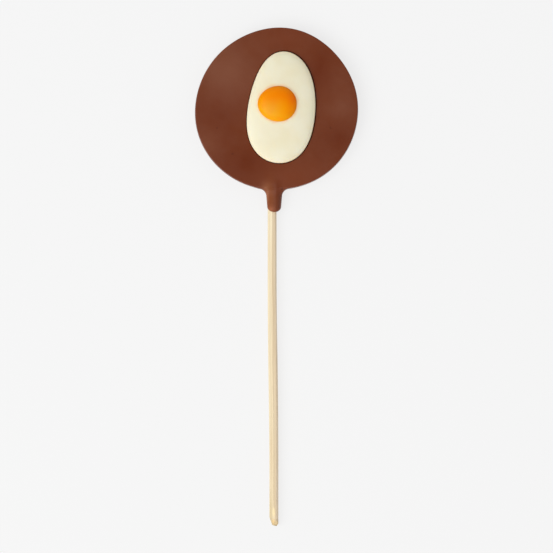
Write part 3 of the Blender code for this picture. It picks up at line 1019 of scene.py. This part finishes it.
def makeBambooMaterial():
    finish = bambooFinish
    material, tree, shader, position = newMaterial("bareBamboo", finish["shader"])
    axes = addNode(tree, "ShaderNodeSeparateXYZ", {"Vector": position})
    along = axes.outputs["Y"]
    middle = addNode(tree, "ShaderNodeMapRange", {
        "Value": along, "From Min": stick["bowEnd"], "From Max": stick["bowTop"],
        "To Min": stick["tipX"], "To Max": stick["upperX"]}, interpolation_type="SMOOTHSTEP")
    across = calc(tree, "SUBTRACT", axes.outputs["X"], middle.outputs["Result"])

    # painted shade: the stick's right side takes the slightly darker straw tone
    toRight = rangeOf(tree, across, 0.0, 1.0, *finish["strawSide"])
    base = mixColours(tree, toRight, finish["pale"], finish["straw"])
    localZone = rangeOf(tree, along, finish["darkerLeftAmount"], 0.0, *finish["darkerLeftPart"])
    base = tint(tree, base, localZone, calc(tree, "SUBTRACT", 1.0, toRight), finish["localZone"])
    # painted highlight along the ridge where the two deep flats meet
    toLine = calc(tree, "SUBTRACT", across, finish["ridgeHighlightX"])
    fromLine = addNode(tree, "ShaderNodeMath", {0: toLine}, operation="ABSOLUTE").outputs[0]
    line = rangeOf(tree, fromLine, finish["ridgeHighlightAmount"], 0.0, 0.0, finish["ridgeHighlightReach"])
    base = mixColours(tree, line, base, finish["ridgeHighlight"])
    lowest = rangeOf(tree, along, finish["sallowAmount"], 0.0, *finish["sallowPart"])
    outerLeft = rangeOf(tree, across, 1.0, 0.0, *finish["sallowSide"])
    base = tint(tree, base, lowest, outerLeft, finish["sallow"])
    # painted light: paler on the shaded right flank, and more so near the tip
    outerRight = rangeOf(tree, across, 0.0, finish["flankAmount"], *finish["flankSide"])
    base = mixColours(tree, outerRight, base, finish["flank"])
    tipPart = rangeOf(tree, along, 1.0, 0.0, *finish["tipPart"])
    tipSide = rangeOf(tree, across, 0.0, 1.0, *finish["tipSide"])
    base = tint(tree, base, tipPart, tipSide, finish["flank"])

    stretched = addNode(tree, "ShaderNodeMapping", {
        "Vector": position, "Scale": (1.0, finish["bandStretch"], 1.0)})
    bands = addClouds(tree, stretched.outputs[0], *finish["bands"])
    base = tint(tree, base, bands, finish["bandAmount"], finish["tan"])
    finer = addNode(tree, "ShaderNodeMapping", {
        "Vector": position, "Scale": (1.0, finish["strandStretch"], 1.0)})
    strands = addClouds(tree, finer.outputs[0], *finish["strands"])
    base = tint(tree, base, strands, finish["strandAmount"], finish["fibre"])

    tip = (0.0, stickLow.y)
    base = layPatches(tree, position, base, finish, finish["cutPatches"], tip)
    endStart, endEnd = (stickLow.y + reach for reach in finish["endPart"])
    cutEnd = rangeOf(tree, along, finish["endAmount"], 0.0, endStart, endEnd)
    base = mixColours(tree, cutEnd, base, finish["endGrain"])
    base = layPatches(tree, position, base, finish, finish["endPatches"], tip)
    tree.links.new(base, shader.inputs["Base Color"])
    tree.links.new(rangeOf(tree, strands, *finish["roughness"]), shader.inputs["Roughness"])
    height = calc(tree, "ADD", calc(tree, "MULTIPLY", strands, finish["strandHeight"]), bands)
    addBump(tree, shader, height, *finish["bump"])
    return material


finishPiece("bamboo_stick", makeStickMesh(), makeBambooMaterial(), "stick")


# floor, light and camera

studio = {
    "floorSize": 8.0,
    "floorTone": srgb(104, 104, 104),
    "floorGlow": 0.778,            # a lit table, which leaves only a faint shadow
    "tentTone": (1.0, 1.0, 1.0, 1.0),
    "tentStrength": 0.62,          # a white tent all round, open over the camera
    "openStrength": 0.08,
    "openEdges": (0.93, 0.78),     # height on the unit sphere where the opening starts and ends
    "target": Vector((0.0, 40.0 * mm, 0.0)),
    "keyDirection": (-0.53, -0.313, 0.788),
    "keyDistance": 1.8,
    "keySize": 1.5,
    "keyWatts": 25.0,
}

camera = {
    "height": 2.5,
    "sharpZ": 3.0 * mm,            # the plane that the frame's width is measured in
    "frameWidth": 221.2 * mm,      # 553 pixels of 0.4 mm
    "lookAt": (-0.06 * mm, 0.20 * mm),
    "sensorWidth": 36.0,
}


def makeFloor():
    bm = bmesh.new()
    bmesh.ops.create_grid(bm, x_segments=1, y_segments=1, size=studio["floorSize"] / 2)
    material = newMaterial("palePaper", {
        "Base Color": studio["floorTone"], "Roughness": 0.9, "Specular IOR Level": 0.1,
        "Emission Color": studio["tentTone"], "Emission Strength": studio["floorGlow"]})[0]
    floor = newPiece("floor", bm, material)


def makeTent():
    world = bpy.data.worlds.new("lightTent")
    world.use_nodes = True
    tree = world.node_tree
    background = tree.nodes["Background"]
    background.inputs["Color"].default_value = studio["tentTone"]
    direction = addNode(tree, "ShaderNodeTexCoord").outputs["Generated"]
    height = addNode(tree, "ShaderNodeSeparateXYZ", {"Vector": direction}).outputs["Z"]
    strength = rangeOf(
        tree, height, studio["openStrength"], studio["tentStrength"], *studio["openEdges"])
    tree.links.new(strength, background.inputs["Strength"])
    bpy.context.scene.world = world


def makeKeyLight():
    data = bpy.data.lights.new("keyLight", "AREA")
    data.shape = "SQUARE"
    data.size = studio["keySize"]
    data.energy = studio["keyWatts"]
    light = bpy.data.objects.new("keyLight", data)
    bpy.context.scene.collection.objects.link(light)
    away = Vector(studio["keyDirection"]).normalized()
    light.location = studio["target"] + away * studio["keyDistance"]
    light.rotation_mode = "QUATERNION"
    light.rotation_quaternion = away.to_track_quat("Z", "Y")


def makeCamera():
    data = bpy.data.cameras.new("camera")
    data.sensor_width = camera["sensorWidth"]
    data.lens = data.sensor_width * (camera["height"] - camera["sharpZ"]) / camera["frameWidth"]
    eye = bpy.data.objects.new("camera", data)
    bpy.context.scene.collection.objects.link(eye)
    eye.location = (*camera["lookAt"], camera["height"])
    bpy.context.scene.camera = eye


makeFloor()
makeTent()
makeKeyLight()
makeCamera()
bpy.context.scene.view_settings.view_transform = "Standard"
print("floor, light and camera made")
